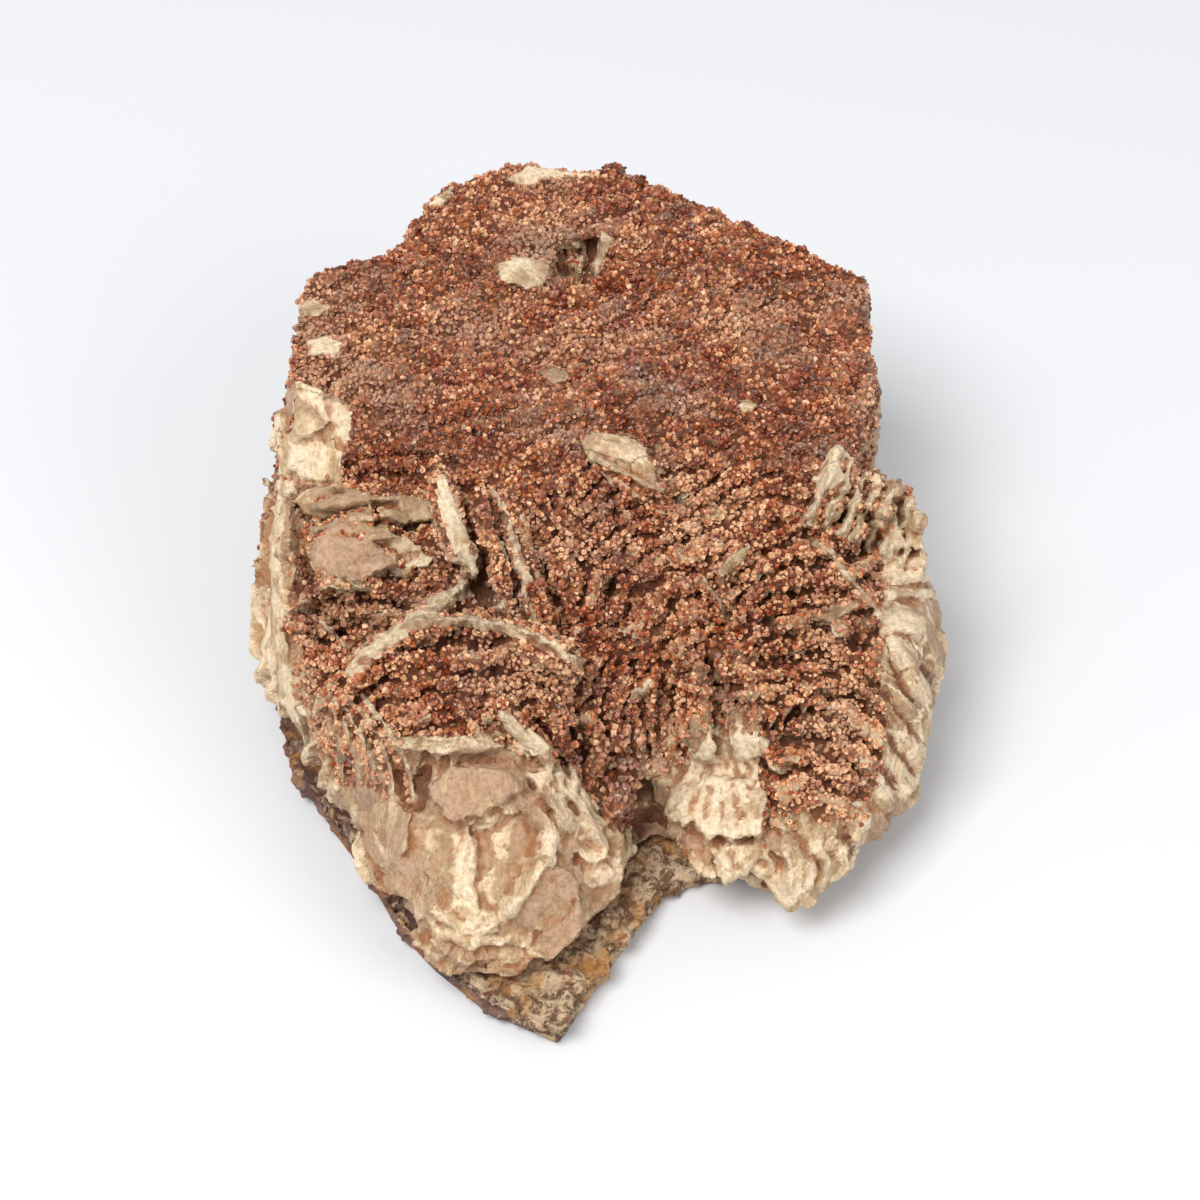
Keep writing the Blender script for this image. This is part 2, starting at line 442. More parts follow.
# lift is the height at the low and at the high side, none where the plate leaves it as it is;
# way points to the high side
plates = {
    "outer wall": plate(0.75, [(-45.3, 17.4), (-40.6, 15.5), (-42.3, 13.4), (-43, 5.4), (-42.5, -2.7),
        (-41.5, -12.1), (-37.8, -18.8), (-35.1, -24.9), (-36.2, -40.9), (-49.8, -13.4), (-49.8, 13.4)]),
    "front wall": plate(0.42, [(-35.1, -24.9), (-30.4, -21.4), (-26.3, -21.4), (-20.2, -22), (-13.4, -20.9),
        (-9.4, -21.7), (-5.9, -26.8), (0.5, -34.6), (5.4, -40.2), (0, -48.2), (-8, -48.2), (-22.8, -48.9),
        (-36.2, -40.9)]),
    "right wall": plate(0.85, [(37.8, 1.1), (40.5, 5.4), (44.9, 8), (48.9, 8), (50.2, -13.4), (47.6, -26.8),
        (40.9, -33.8), (35.1, -37.5), (26.8, -43.6), (18.8, -41.8), (13.4, -36.2), (16.1, -32.4),
        (22.1, -32.4), (26.8, -33), (34.3, -30.8), (36.4, -25.5), (38.1, -18.8), (37.3, -10.7)]),
    "shoulder": plate(0.72, [(-45.3, 28.4), (-40.2, 29.5), (-36.2, 28.1), (-33, 25.7), (-33.5, 21.4),
        (-35.1, 18.5), (-34.2, 15), (-40.6, 15.5), (-45.8, 17.4)]),
    "rim": plate(0.85, [(-12.7, 56.3), (-10.1, 58.3), (-6.7, 60.3), (-2, 60), (0.8, 58.2), (-0.3, 56.7),
        (-4, 56.7), (-7.4, 56.1), (-10.7, 55.5)]),
    "ear": plate(0.5, [(-24.1, 55.9), (-21.4, 56.8), (-18.8, 57.1), (-19.7, 54.1), (-21.4, 52.7),
        (-23.6, 52.7)]),
    "left gap": plate(0.8, [(-39.4, 34.8), (-36.2, 35.5), (-34, 34.2), (-35.4, 32.7), (-38.9, 32.8)],
        lift=(0.1, 0.4)),
    "small white": plate(1, [(18.1, 26.3), (20.1, 26.9), (21.8, 26), (20.8, 24.9), (18.8, 25.2)],
        lift=(0.1, 0.8)),
    "small tan": plate(0.4, [(-8.3, 30.7), (-5.9, 31.2), (-3.8, 30.3), (-4.6, 29.2), (-7, 29.3)],
        lift=(0.1, 0.6)),
    "rim tan": plate(0.4, [(-40.2, 39.5), (-37.8, 40.2), (-36.2, 39.1), (-37.8, 37.8), (-39.7, 38.1)],
        lift=(0.1, 0.4)),
    "right rim gap": plate(0.7, [(33, 48.2), (35.1, 46.9), (35.6, 45.3), (33.8, 45.8)], lift=(0, 0.3)),
    "pit cream": plate(0.85, [(-13.8, 45.3), (-11.4, 46.2), (-8, 46), (-6.3, 44.8), (-6.7, 42.9),
        (-9.6, 41.4), (-12.6, 42.1), (-13.7, 43.4)], lift=(0, 0.9), way=(0.3, -1)),
    "shoulder lump": plate(0.7, [(-44.5, 27.1), (-40.7, 28.4), (-37, 27.1), (-35.9, 23.9), (-39.1, 21.7),
        (-43.4, 22), (-44.8, 24.1)], lift=(0.3, 1.2), way=(0.2, -1)),
    "shoulder lump low": plate(0.8, [(-41.5, 20.6), (-37.8, 21.4), (-34.2, 19.8), (-34.4, 16.3),
        (-38.6, 15.8), (-41.5, 17.4)], lift=(0.2, 1.2), way=(0.2, -1)),
    "shoulder lump left": plate(0.7, [(-45.8, 21.4), (-43.4, 21.7), (-41.8, 20.1), (-42.1, 16.9),
        (-44.5, 16.3), (-46.1, 17.7)], lift=(0, 0.8), way=(-0.4, -1)),
    "cover top": plate(0.42, [(-39.9, 14.7), (-36.2, 15.5), (-33.2, 15.1), (-29.9, 13.8), (-30.6, 13),
        (-30, 10.5), (-34.8, 10.6), (-39.3, 11.3), (-41.3, 13.1)], lift=(0.6, 1.9), way=(0.1, -1)),
    "top shelf": plate(0.4, [(-30.7, 13.9), (-26.8, 14.3), (-22.5, 13.4), (-21.8, 10.9), (-26.5, 10.3),
        (-29.1, 10.9), (-30.3, 12.1)], lift=(0.2, 1.8)),
    "middle shelf": plate(0.45, [(-39, 9.9), (-34.8, 10.9), (-29.1, 9.8), (-23.6, 7.4), (-24, 5.2),
        (-27.5, 6.6), (-32.4, 8.8), (-36.4, 9.2), (-38.6, 8.3)], lift=(0.4, 1.9), way=(0.2, -1)),
    "great face": plate(0.12, [(-39.1, 7.6), (-36.7, 9.2), (-32.2, 8.7), (-29.7, 7.1), (-26.8, 5.1),
        (-28.9, 3.8), (-32.8, 2.4), (-36.7, 3.1), (-38.6, 5.1)], lift=(0.8, 3.2), way=(0.1, -1)),
    "yellow spot": plate(0.95, [(-27.3, 6.3), (-24.4, 6.8), (-21.8, 5.5), (-23.2, 4.4), (-26.3, 4.8)],
        lift=(0.6, 1), way=(1, 0)),
    "leaf one": plate(1, [(-22, 18.2), (-20.6, 16.6), (-19.3, 13.4), (-17.7, 9.4), (-16.6, 5.4),
        (-16.3, 1.9), (-17.7, 3.8), (-19.3, 6.4), (-20.9, 10.1), (-21.8, 13.7)], lift=(1, 3.2),
        way=(-1, 0.2)),
    "leaf two tip": plate(0.8, [(-12.2, 8.6), (-11, 7.5), (-9.6, 4.8), (-9.2, 2.4), (-10.7, 3.5),
        (-11.9, 5.9)], lift=(0.8, 2.4), way=(-1, -0.2)),
    "pink blade": plate(0.2, [(-7.5, 6.4), (-5.9, 5.9), (-4.3, 3.8), (-4.6, 2.7), (-6.2, 3.8)],
        lift=(0.5, 1.6), way=(-1, -1)),
    "star": plate(1, [(-20.2, -9.8), (-19, -8.3), (-18.5, -6.7), (-16.9, -7.2), (-15.3, -6.7),
        (-13.4, -7.6), (-15, -8.6), (-16.1, -9.8), (-18, -9.1)], lift=(0.2, 1.1)),
    "ledge blade": plate(0.8, [(-30.6, -17.2), (-26.8, -18.4), (-23.5, -18.1), (-20.2, -18.1),
        (-16.1, -18.4), (-12.5, -18.9), (-13, -20.1), (-16.8, -20.8), (-20.2, -21), (-23.5, -20.6),
        (-26.3, -20), (-28.8, -18.6)], lift=(1.6, 3.2)),
    "spear": plate(1, [(-14.5, -12.9), (-13.3, -13.5), (-11.8, -15), (-9.4, -17.7), (-7.8, -19.8),
        (-8.7, -20.5), (-10.7, -19.6), (-12.5, -17.8), (-13.7, -15.5)], lift=(1.2, 3.2), way=(-1, -0.6)),
    "spear behind": plate(0.75, [(-6.4, -12.2), (-5.2, -12.9), (-3.9, -14.9), (-2.9, -16.8), (-4.3, -16.5),
        (-5.9, -14.5)], lift=(0.8, 2.2), way=(-1, -0.6)),
    "ochre patch": plate(0.6, [(-2.7, -14.5), (-0.8, -15), (0, -17.4), (-1.6, -18), (-2.9, -16.3)],
        lift=(0.3, 1.2), coat=0.2),
    "upper strip": plate(0.15, [(-20.6, -20.9), (-17.4, -20.1), (-12.1, -19.6), (-11.1, -20.9),
        (-16.1, -21.8), (-19.7, -22)], lift=(0.9, 1.5), way=(0, 1)),
    "side face": plate(0.3, [(-12.3, -19.8), (-10.1, -20.6), (-9.4, -23.6), (-10.1, -26), (-11.1, -23.6)],
        lift=(0.4, 1.6), way=(-1, 0)),
    "scalloped plate": plate(0.2, [(-22.8, -25.2), (-21.2, -23), (-19.7, -22.1), (-18, -22.4),
        (-15.9, -21.8), (-13.9, -21.7), (-12.1, -20.9), (-10.5, -22.5), (-10.2, -24.3), (-10.6, -25.7),
        (-12.3, -26.4), (-13.1, -27.6), (-15, -28.3), (-15.8, -29.3), (-17.8, -29.2), (-19.4, -29.9),
        (-20.8, -29.3), (-21.3, -28), (-22.5, -27.1)], lift=(1.2, 3.4), way=(0.05, -1)),
    "box left face": plate(0.3, [(-22.8, -30.8), (-17.7, -30.6), (-16.9, -34.3), (-17.4, -38.7),
        (-15.9, -43.1), (-21.4, -40.7), (-23, -37.5), (-23.6, -33.5)], lift=(-1.4, 0.2), way=(-1, -0.1)),
    "box right face": plate(0.7, [(-16.9, -30.8), (-10.5, -28.1), (-7.2, -31.4), (-7.9, -34.8),
        (-10.7, -38.3), (-13.8, -42.9), (-15.7, -42.9), (-17.2, -38.7), (-16.5, -34.3)], lift=(-2.2, -0.5),
        way=(1, -0.2)),
    "box lower": plate(0.8, [(-20.6, -39.9), (-17.4, -40.9), (-14.5, -41.8), (-13.7, -44), (-17.4, -44.2),
        (-20.4, -42.6)], lift=(-0.4, 0.5)),
    "pink face": plate(0.3, [(-6.8, -35.9), (-2.3, -35.4), (-2, -37), (-3.5, -39.8), (-6.7, -42.3),
        (-10.7, -44.8), (-13.1, -45.7), (-13.3, -44.5), (-9.2, -39.7)], lift=(0, 0.9), way=(-0.6, 1)),
    "right plate": plate(0.7, [(-1.6, -35.6), (0.5, -35.1), (2.4, -36.2), (0.8, -38.1), (-1.3, -38.6),
        (-2.7, -37.5)], lift=(0, 0.8)),
    "cascade foot": plate(0.95, [(-3.5, -31.9), (-1.3, -31), (0.9, -32.3), (1.2, -34.4), (-0.5, -35.6),
        (-2.7, -34.8)], lift=(0.4, 2), way=(0.6, -1)),
    "brown plate one": plate(0.2, [(-6.4, -29.2), (-5.1, -27.9), (-3.6, -28.7), (-3.1, -30.3),
        (-4.6, -31.5), (-6, -31)], lift=(0.3, 1.6), way=(0.3, -1)),
    "brown plate two": plate(0.3, [(-5.9, -31.9), (-4.3, -31.1), (-2.7, -31.6), (-2.1, -33.5),
        (-3.9, -34.4), (-5.6, -33.6)], lift=(0.3, 1.4), way=(0.3, -1)),
    "left plate one": plate(0.3, [(-35.4, -25.5), (-33.5, -24.5), (-31.6, -25.1), (-28.9, -26.7),
        (-31.4, -27.6), (-32, -31.1), (-34.4, -30.3)], lift=(0.2, 1.6), way=(-0.4, -1)),
    "left plate two": plate(0.42, [(-31.9, -28.1), (-30, -26.8), (-27.9, -26.5), (-25.1, -28.7),
        (-25.6, -33.2), (-27.9, -36.2), (-30.6, -35.5), (-31.9, -32.4)], lift=(0.4, 2.2), way=(0.3, -1)),
    "left plate three": plate(0.55, [(-34, -31.6), (-32.2, -31.4), (-31.4, -34.6), (-29.7, -37.5),
        (-31.6, -38.3), (-33.5, -35.1)], lift=(0, 1), way=(0.6, -0.6)),
    "left plate four": plate(0.5, [(-29.5, -37), (-26.8, -36.4), (-24.1, -39.1), (-23, -41.8), (-25.5, -44),
        (-27.9, -41.3)], lift=(0, 1.2), way=(0.4, -1)),
    "lip": plate(0.85, [(-23, -43.1), (-19.8, -44.2), (-16.1, -45.3), (-11.8, -45), (-12.9, -46.4),
        (-17.4, -46.9), (-21.4, -45.6)], lift=(0.3, 1.3)),
    "pebble one": plate(0.6, [(-23, -45.6), (-21.4, -45.3), (-20.1, -46.6), (-20.9, -48), (-22.8, -47.4)],
        lift=(0.3, 1.3)),
    "pebble two": plate(0.7, [(-19.3, -46.9), (-17.2, -46.9), (-16.1, -48.2), (-17.7, -49.3),
        (-19.3, -48.5)], lift=(0.3, 1.3)),
    "brow plate": plate(0.62, [(-2.9, 21.4), (-1.3, 22.6), (1.3, 22.5), (3.8, 21.7), (5.9, 20.4),
        (7.5, 17.2), (8.6, 14.2), (7, 14.2), (4, 16.1), (0.8, 17.8), (-1.6, 19)], lift=(0.5, 2),
        way=(0.4, 1)),
    "brow strip": plate(0.35, [(-0.5, 17.7), (2.4, 16.6), (5.4, 14.5), (6.7, 13), (4.3, 13.4), (1.3, 15.5)],
        lift=(0.4, 1.2), coat=0.3),
    "tan leaf": plate(0.45, [(15.8, 3.6), (16.9, 5.5), (18.6, 6.8), (20.4, 7.5), (19.6, 5.6), (18, 4),
        (16.6, 2.8)], lift=(0.8, 2.6), way=(-0.6, 1)),
    "pale spear": plate(0.9, [(3.6, -13.8), (4.7, -12.1), (6.3, -10.3), (7.6, -9.4), (7, -11.4),
        (5.4, -13.1)], lift=(0.8, 2.6), way=(-0.6, 1)),
    "pink leaf": plate(0.18, [(28.8, -2.5), (30.8, -1.1), (33.5, 0), (36, 0.9), (35.8, -0.5), (33.1, -1.7),
        (30.3, -3.4)], lift=(0.6, 2.4), way=(-0.2, 1)),
    "comb face": plate(0.95, [(28.1, 16.1), (30.3, 19.3), (32.3, 20.8), (33.6, 19.8), (31.9, 15.9),
        (29.9, 14.1)], lift=(0.4, 2.2), way=(0.3, 1)),
    "shoulder face": plate(0.28, [(42.7, -0.3), (47, 0.3), (47.4, -7.5), (45.7, -9), (44.2, -5.8)],
        lift=(0.3, 1), way=(-1, 0)),
    "ridge lump": plate(0.8, [(36.3, -0.7), (38.9, 0.1), (41.3, -0.7), (43.3, -3.2), (42.6, -4.7),
        (40.2, -4.2), (37.8, -3.2)], lift=(0.6, 2.2), way=(0.4, -1)),
    "great shell": plate(1, [(16.1, -16.3), (14.1, -18.1), (12.6, -20.4), (11.5, -23), (10.2, -24.7),
        (9.6, -26.5), (8.7, -27.9), (9, -29.7), (10.2, -29.7), (11, -30.8), (12.3, -29.7), (13.4, -31.1),
        (14.2, -32.6), (15.8, -31.6), (17.8, -32.4), (19.8, -31.6), (21.4, -31.9), (22, -29.2),
        (22.8, -26.8), (21.8, -24.4), (21.4, -22.5), (22.5, -18.9), (20.8, -17.7), (18.8, -16.2)],
        lift=(0.2, 3), way=(-0.4, -1)),
    "shell below": plate(0.88, [(14.6, -33), (17.4, -33.2), (21.7, -32.2), (23, -33.8), (22.5, -36.4),
        (20.1, -40.5), (18.1, -38.6), (16.1, -36.4)], lift=(0, 1.2)),
    "toe tip left": plate(0.95, [(22.8, -38.1), (24.4, -35.4), (26.8, -34.3), (26.9, -42.2), (24.9, -40.5)],
        lift=(0.2, 2), way=(1, 0)),
    "toe tip right": plate(0.6, [(26.8, -34.3), (29.2, -35.9), (29.7, -39.1), (27.1, -42.2)], lift=(0.3, 2),
        way=(-1, 0)),
    "green plate": plate(0.6, [(29.5, -36.2), (30.4, -34.6), (32.2, -33.9), (33.9, -35.1), (33.5, -37.8),
        (31.8, -39.3), (30, -39.4)], lift=(0.3, 1.5), way=(-0.3, 1)),
    "right low plate": plate(0.8, [(35.9, -26), (38.9, -25.2), (42.1, -26.3), (42.7, -28.1), (40.2, -28.9),
        (37.3, -27.9)], lift=(0.2, 1.5)),
    "right low plate two": plate(0.6, [(33, -30), (35.6, -28.4), (38.3, -29.2), (38.9, -31.4), (36.2, -33),
        (33.5, -32.4)], lift=(0.1, 1.2)),
}


def fan(height, across, tint, line, last=None, count=1, taper=8, bare=9, coat=0):
    return {"height": height, "across": across, "tint": tint, "line": line, "last": last or line,
            "count": count, "taper": taper, "bare": bare, "coat": coat}


# edges with a cliff on their left: across is the flat top and the slope on the right, last the last line
# of a fan, bare the breadth that crystals leave free
crests = {
    "pit fin": fan(1.5, (0.8, 0.8), 0.6, [(1.5, 48.8), (0.8, 46.6), (-0.5, 43.4)], taper=4),
    "cover rim": fan(1.8, (0.5, 1.6), 0.9, [(-40.2, 15.3), (-41.9, 13.4), (-42.7, 9.4), (-42.9, 4.7),
        (-42.5, -1.5), (-41.8, -6.7), (-41, -12.1), (-39.5, -16.1)], taper=10, bare=1.4),
    "ledges": fan(1.7, (0.4, 1.3), 0.5, [(-41.3, 2.7), (-36.9, 1.3), (-31.5, 1.1), (-25.1, 2.1)],
        [(-42.1, -2.9), (-38.6, -4.6), (-35.5, -5.6), (-33.2, -7)], 4, bare=0.3, coat=0.9),
    "thin spear": fan(1.8, (0.3, 0.4), 0.9, [(-40.3, 0.3), (-38.2, -1.6), (-36.2, -3.8), (-33.2, -6.4)],
        taper=4),
    "arc left": fan(3.2, (1.5, 2.2), 0.9, [(-34.8, -10.2), (-32.8, -7.8), (-30.7, -5.8), (-26.8, -3.5),
        (-23.6, -0.7), (-20.2, 1.5), (-17.7, 2.9)], taper=10, bare=1.9, coat=0.9),
    "arc right": fan(2.6, (1.2, 2.6), 0.55, [(-26.3, -3.1), (-23.6, -2.5), (-18.1, -2.4), (-12.6, -3.2),
        (-8.3, -4.7), (-4.4, -6.7), (-1.3, -8.3)], bare=1.2, coat=0.9),
    "rings": fan(1.3, (0.4, 1.2), 0.4, [(-35.4, -13.9), (-33.2, -11), (-28.8, -8.6), (-23.5, -7),
        (-17.4, -5.4)], [(-27.9, -17.4), (-22.8, -15.3), (-16.8, -13.9), (-11.4, -13.4), (-5.4, -12.1)], 5,
        bare=0.15, coat=1),
    "outer rings": fan(1.1, (0.4, 1.1), 0.4, [(-16.1, -5.4), (-10.7, -6), (-5.4, -8.7), (-2.7, -12.1)],
        [(-13.4, -10.7), (-9.4, -12.1), (-6.7, -14.7), (-4, -18.8)], 4, bare=0.1, coat=1),
    "leaf two": fan(1.8, (0.3, 1.6), 0.75, [(-14.1, 15.3), (-13, 12.7), (-11.8, 9.4), (-10.7, 5.4),
        (-9.8, 1.3), (-7.8, -4.3)], taper=6, bare=0.5, coat=0.9),
    "leaf one second": fan(1.6, (0.4, 1.3), 0.4, [(-19, 16.9), (-16.9, 13.4), (-15, 10.1), (-13.4, 6.4),
        (-12.6, 2.7)], taper=6, bare=0.2, coat=1),
    "right leaves": fan(1.5, (0.4, 1.4), 0.4, [(-11, 16.1), (-8.6, 11.4), (-6.4, 6.7), (-4.6, 1.3),
        (-3.2, -4)], [(-4, 13.4), (-2, 8.7), (-1.1, 4), (0, -1.3), (0.5, -6.7)], 4, bare=0.1, coat=1),
    "cascade": fan(2.4, (0.25, 1), 0.85, [(-9.4, -22.5), (-6.4, -26.8), (-2.9, -31.4)], [(-4.6, -21.4),
        (-1.1, -27.5), (1.6, -33.5)], 6, taper=6),
    "column": fan(2.2, (0.8, 1), 0.4, [(-0.5, -16.1), (0.8, -20.1), (1.6, -24.8), (2.1, -29.5)],
        [(4, -17.4), (5.4, -21.4), (4.6, -26.1), (3.8, -30.2)], 3, bare=0, coat=1),
    "box ridge": fan(0.9, (0.1, 3.2), 0.85, [(-17.6, -30.3), (-16.8, -34.3), (-17.4, -38.7),
        (-15.5, -43.7)]),
    "box rim": fan(2.2, (0.5, 2.4), 0.85, [(-8.3, -27.5), (-6, -30.8), (-5.9, -33.2), (-7.2, -35.9),
        (-9.4, -39.3), (-13.4, -44.5)], taper=10),
    "box bottom": fan(1.2, (0.6, 0.8), 0.8, [(-13.1, -44.6), (-16.1, -45), (-20.1, -43.7), (-23, -41.3)]),
    "ragged": fan(1.5, (0.35, 1.1), 0.4, [(-40.2, -12.1), (-37.3, -14.2), (-34.8, -19), (-34.6, -24.1)],
        [(-32.2, -12.1), (-27.9, -17.2), (-25.2, -22.8), (-24.7, -27.6)], 5, taper=6, bare=0.5, coat=0.7),
    "low blades": fan(1.2, (0.4, 0.9), 0.7, [(-33.2, -37.5), (-30, -40.9), (-26.8, -44.2)], [(-26.8, -44.2),
        (-23.6, -46.2), (-21.4, -48.5)], 3, taper=6),
    "comb": fan(3.0, (0.45, 0.75), 0.95, [(32.4, 20.5), (31.1, 17.4), (29.7, 14.2), (28.1, 10.7)],
        [(43.6, 12.3), (42.6, 9.6), (41.5, 7), (40.5, 4.3)], 7, taper=10, bare=1.0, coat=0.15),
    "shoulder ledges": fan(1.6, (0.9, 0.6), 0.92, [(47.4, 6.4), (42.2, 7.1), (37.5, 6.4)], [(46.1, 0.3),
        (41.3, 0.4), (38.1, 0.3)], 4, taper=12),
    "right crest": fan(2, (0.5, 1.3), 0.7, [(27.9, 8.7), (31.2, 6.7), (33.2, 3.6), (35.8, 0.8),
        (37.8, -2.4)], bare=0.6, coat=0.8),
    "edge crest": fan(0.7, (0.2, 2.4), 0.6, [(35.9, 0), (37.3, -5.4), (37.5, -12.1), (37.8, -18.8),
        (36.7, -25.5), (34.8, -30.3)], taper=10, bare=0.3, coat=0.6),
    "orange spear": fan(2.2, (0.4, 0.7), 0.3, [(13.7, 3.6), (15, 1.3), (16.3, -0.5), (17.6, -2.9)], taper=4,
        bare=0.4, coat=0.7),
    "cleft crests": fan(2.3, (0.7, 1.6), 0.3, [(11.3, -6), (13.1, -8.6), (14.5, -11.5), (15.7, -18.2)],
        [(18.5, -5.9), (19.8, -8.6), (20.9, -11.8), (21.2, -19.2)], 3, taper=2, bare=0.3, coat=0.5),
    "toe blades": fan(1.1, (0.4, 1), 0.8, [(16.3, -33.5), (18, -36.4), (19.3, -39.9)], [(33, -33),
        (33.2, -35.9), (31.9, -38.9)], 7, taper=6),
    "brow crests": fan(1.4, (0.4, 1.2), 0.4, [(-4, 19.3), (-1.1, 17.4), (2.1, 14.5)], [(-5.4, 16.1),
        (-2, 13.4), (1.3, 10.7)], 3, bare=0.1, coat=1),
}

# rows of coated blades: middle and reach of the patch, the heart that its rows radiate from or run round,
# gap between two rows, height
rowFans = {
    "druse": ((0, 44), (62, 34), (-220, -52), 3.6, 1.4),
    "right rows": ((26, -0.5), (17, 11), (10, -6.5), 3.0, 3.2),
    "right lobe": ((27.5, -20), (15, 12), (-4, -9), 3.0, 3.1),
    "brow": ((11, 15), (20, 8), (-26, 0), 3.1, 2.7),
    "centre": ((6, 1), (11, 11), (-16, -8), 2.9, 3.0),
    "column": ((3, -17), (7, 12), (3, 12), 2.5, 2.9),
    "leaves": ((-9, 6), (9, 10), (-20, 32), 2.8, 2.7),
    "rosette": ((-20, -11), (18, 9), (-17.5, -27), 2.8, 2.3),
    "left ledges": ((-35, 0), (9, 9), (-75, 7), 2.8, 2.6),
    "left top": ((-27, 16), (12, 6), (-60, 14), 3.0, 2.4),
}


def seenAt(places):  # where each place shows on the plane of the relief
    away = places - np.array(viewFrom)
    depth = away @ -np.array(viewWay)
    up = np.array((0, math.sqrt(0.5), math.sqrt(0.5)))
    return np.stack([away[:, 0], away @ up], axis=1) / depth[:, None] * viewDistance


def towardsView(places):
    towards = np.array(viewFrom) - places
    return towards / np.linalg.norm(towards, axis=1)[:, None]


def besideEdge(flat, start, end):  # share along a straight edge, distance from it, side: above 0 on the right
    edge, offset = np.subtract(end, start), flat - start
    share = np.clip(offset @ edge / (edge @ edge), 0, 1)
    away = np.hypot(*(offset - share[:, None] * edge).T)
    return share, away, offset[:, 0] * edge[1] - offset[:, 1] * edge[0]


def insideOutline(flat, outline):  # how deep inside the outline each place lies, below 0 outside
    nearest, inside = np.full(len(flat), 1e9), np.zeros(len(flat), bool)
    for start, end in zip(outline, outline[1:] + outline[:1]):
        nearest = np.minimum(nearest, besideEdge(flat, start, end)[1])
        if start[1] != end[1]:
            lean = (end[0] - start[0]) / (end[1] - start[1])
            level = (start[1] > flat[:, 1]) != (end[1] > flat[:, 1])
            inside ^= level & (flat[:, 0] - start[0] < (flat[:, 1] - start[1]) * lean)
    return np.where(inside, nearest, -nearest)


def besideLine(flat, line):  # share along the line, and how far each place lies to its right
    nearest, share, right = np.full(len(flat), 1e9), np.zeros(len(flat)), np.zeros(len(flat))
    for index, (start, end) in enumerate(zip(line, line[1:])):
        along, away, side = besideEdge(flat, start, end)
        closer = away < nearest
        nearest = np.where(closer, away, nearest)
        share = np.where(closer, (index + along) / (len(line) - 1), share)
        right = np.where(closer, away * np.sign(side), right)
    return share, right


def alongCrest(points, share):  # a place on the polyline, rounded a little at its corners
    reach = share * (len(points) - 1)
    index = min(int(reach), len(points) - 2)
    first, second, t = points[index], points[index + 1], reach - index
    before, after = points[max(index - 1, 0)], points[min(index + 2, len(points) - 1)]
    return 0.5 * (2 * first + (second - before) * t + (2 * before - 5 * first + 4 * second - after) * t * t
                  + (3 * first - before - 3 * second + after) * t ** 3)


def fanLines():  # every edge of every fan, with its settings, how high it stands and a number of its own
    rng, nearEnd = np.random.default_rng(8), 0.9999
    for crest in crests.values():
        count = crest["count"]
        first, last = np.array(crest["line"], float), np.array(crest["last"], float)
        if len(first) != len(last):
            steps = np.linspace(0, 1, max(len(first), len(last))) * nearEnd
            first, last = (np.array([alongCrest(line, step) for step in steps]) for line in (first, last))
        loose = 1.0 if count > 1 else 0.0
        for index in range(count):
            share = np.clip((index + rng.uniform(-0.2, 0.2) * loose) / max(1, count - 1), 0, 1)
            line = first + (last - first) * share + rng.uniform(-0.22, 0.22, first.shape) * loose
            line = np.array([alongCrest(line, step) for step in np.linspace(0, nearEnd, 9)])
            yield line, crest, crest["height"] * (1 + rng.uniform(-0.3, 0.25) * loose), rng.uniform(0, 90)


def rowField(flat):  # rows of coated blades: 1 on a crest, below 0 between two rows; and how high they stand
    best, found, rise = np.full(len(flat), -9.0), np.zeros(len(flat)), np.zeros(len(flat))
    wander = flatNoise(flat[:, 0] / 3.5, flat[:, 1] / 3.5, 6.1)
    for seed, (name, (middle, reach, heart, gap, height)) in enumerate(rowFans.items()):
        weight = 1 - np.hypot(*((flat - middle) / reach).T)
        better = weight > best
        outwards = flat[better] - heart
        along = np.hypot(*outwards.T)
        across = np.arctan2(outwards[:, 1], outwards[:, 0]) * math.dist(middle, heart)
        if name == massShape["rings"]:
            across, along = along, across
        sway = flatNoise(across / (4 * gap), along / (5 * gap), 3.3 * seed)
        phase = across / gap + sway * 1.6 + wander[better] * 0.45
        row = np.floor(phase)
        saw = np.minimum((phase - row) / 0.7, (1 - phase + row) / 0.3)
        swell = flatNoise(row * 7.31, along / (4.0 * gap), 5.5 + seed)
        scales = (along / (1.9 * gap) + row * 0.37 + sway * 0.5) % 1.0
        best[better] = weight[better]
        found[better] = np.minimum(saw * 2.0, 1.2) - 1.0 + swell * 0.6 + (scales - 0.5) * 0.35
        rise[better] = height
    return found, rise


def rodField(flat):  # bundles of rods side by side: height in mm, 0 in the gaps to 1 on a rod, tint
    wayX, wayY = massShape["rodWay"]
    along, across = flat[:, 0] * wayX + flat[:, 1] * wayY, flat[:, 0] * wayY - flat[:, 1] * wayX
    height, ridge, tint = np.zeros(len(flat)), np.ones(len(flat)), np.zeros(len(flat))
    for seed, (breadth, rise) in enumerate(massShape["rods"]):
        sway = flatNoise(along / (4 * breadth), across / (3 * breadth), layer=seed)
        phase = across / breadth + sway * 0.7
        row = np.floor(phase)
        profile = np.sqrt(np.clip(1 - (2 * (phase - row) - 1) ** 2, 0, 1))
        ends = flatNoise(row * 5.3, along / (3 * breadth), layer=seed)
        height += (profile - 0.7 + ends * 0.45) * rise
        ridge *= smoothStep(profile, 0.2, 0.7)
        tint += ends * 0.25
    return height, ridge, tint


